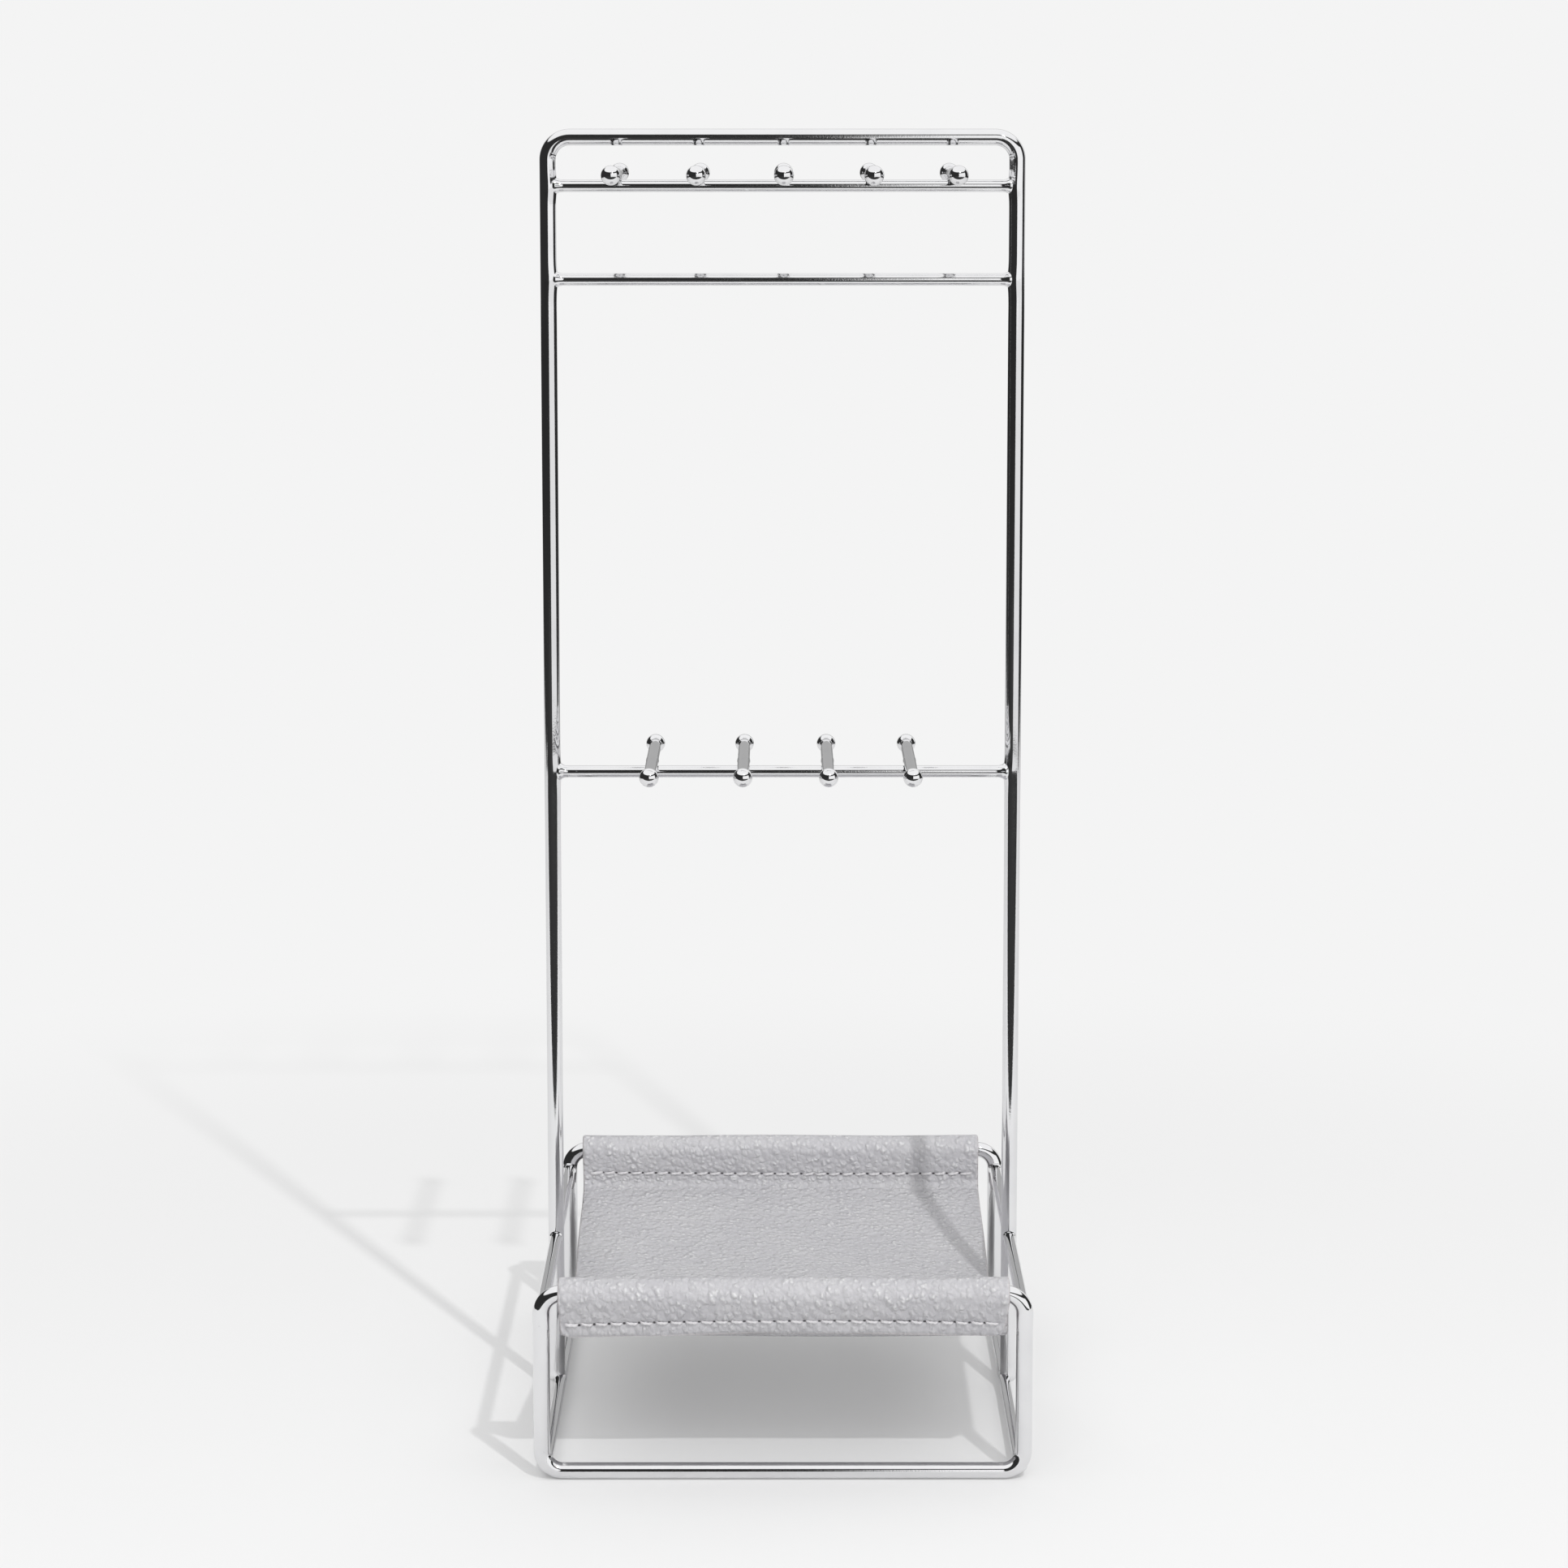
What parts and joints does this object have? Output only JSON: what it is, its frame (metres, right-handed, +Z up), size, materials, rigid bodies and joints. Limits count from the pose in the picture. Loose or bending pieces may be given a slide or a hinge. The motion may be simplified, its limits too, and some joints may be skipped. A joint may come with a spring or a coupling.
{
  "type": "valet stand",
  "caption": "Chromed wire valet stand: a tall frame with ball-ended pegs on crossbars, rising from a wire base that carries a soft leather sling tray.",
  "frame": {"origin": "on the floor, at the middle of the base's footprint", "axes": "+Z up along the tall frame, +X to the right seen from the front, front towards -Y"},
  "size_m": [0.12, 0.1538, 0.3216],
  "materials": {
    "chrome_wire": "bright chrome plate on drawn steel wire",
    "chrome_ball": "bright chrome plate on polished steel balls",
    "leather": "light grey pebble-grained leather, semi-matt",
    "thread": "light grey bonded sewing thread"
  },
  "bodies": {
    "root": {"front_base_loop": "chrome_wire", "front_stitching": "thread", "leather_sling": "leather", "left_bottom_rail": "chrome_wire", "left_front_top_rail": "chrome_wire", "left_rear_top_rail": "chrome_wire", "middle_peg_1_front_ball": "chrome_ball", "middle_peg_1_rear_ball": "chrome_ball", "middle_peg_1_rod": "chrome_wire", "middle_peg_2_front_ball": "chrome_ball", "middle_peg_2_rear_ball": "chrome_ball", "middle_peg_2_rod": "chrome_wire", "middle_peg_3_front_ball": "chrome_ball", "middle_peg_3_rear_ball": "chrome_ball", "middle_peg_3_rod": "chrome_wire", "middle_peg_4_front_ball": "chrome_ball", "middle_peg_4_rear_ball": "chrome_ball", "middle_peg_4_rod": "chrome_wire", "middle_peg_bar": "chrome_wire", "plain_bar": "chrome_wire", "rear_base_loop": "chrome_wire", "rear_stitching": "thread", "right_bottom_rail": "chrome_wire", "right_front_top_rail": "chrome_wire", "right_rear_top_rail": "chrome_wire", "tall_frame": "chrome_wire", "upper_peg_1_front_ball": "chrome_ball", "upper_peg_1_rear_ball": "chrome_ball", "upper_peg_1_rod": "chrome_wire", "upper_peg_2_front_ball": "chrome_ball", "upper_peg_2_rear_ball": "chrome_ball", "upper_peg_2_rod": "chrome_wire", "upper_peg_3_front_ball": "chrome_ball", "upper_peg_3_rear_ball": "chrome_ball", "upper_peg_3_rod": "chrome_wire", "upper_peg_4_front_ball": "chrome_ball", "upper_peg_4_rear_ball": "chrome_ball", "upper_peg_4_rod": "chrome_wire", "upper_peg_5_front_ball": "chrome_ball", "upper_peg_5_rear_ball": "chrome_ball", "upper_peg_5_rod": "chrome_wire", "upper_peg_bar": "chrome_wire"}
  },
  "joints": []
}
